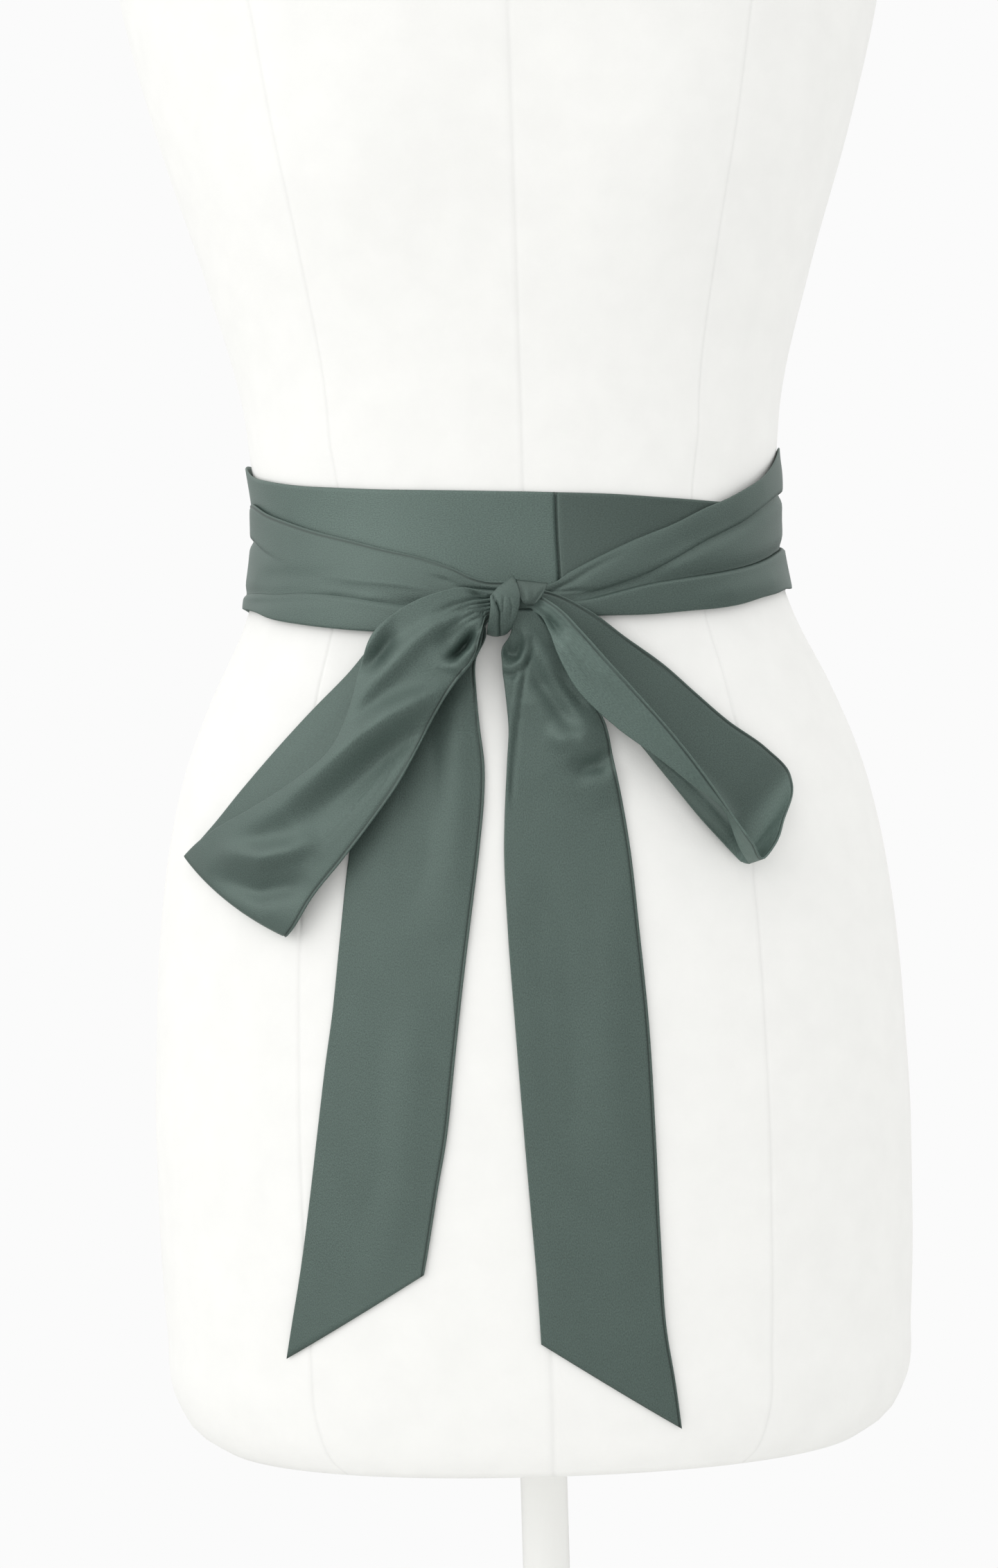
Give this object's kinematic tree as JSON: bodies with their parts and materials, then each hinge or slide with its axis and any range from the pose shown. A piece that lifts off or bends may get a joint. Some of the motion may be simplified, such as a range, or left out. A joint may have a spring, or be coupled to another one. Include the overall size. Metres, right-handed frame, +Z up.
{
  "type": "satin sash on dress form",
  "caption": "Satin sash wound twice round the waist of a plain dress form on a round stand, tied in a bow with drooping loops and long slanted tails.",
  "frame": {"origin": "centre of the base's underside, on the floor", "axes": "+Z up along the pole, -Y towards the front where the bow is, +X to the viewer's right"},
  "size_m": [0.4, 0.4, 1.455],
  "materials": {
    "satin": "crepe-backed satin, muted sage green, soft sheen",
    "canvas": "white canvas, painted matt",
    "painted_steel": "white enamel, satin"
  },
  "bodies": {
    "root": {"form_torso": "canvas", "form_pole": "painted_steel", "form_base": "painted_steel", "first_wrap_left": "satin", "first_wrap_right": "satin", "back_upper": "satin", "back_lower": "satin", "wrap_left": "satin", "wrap_right": "satin", "knot_band": "satin", "knot_flap": "satin", "loop_left": "satin", "loop_right": "satin", "tail_left": "satin", "tail_right": "satin"}
  },
  "joints": []
}
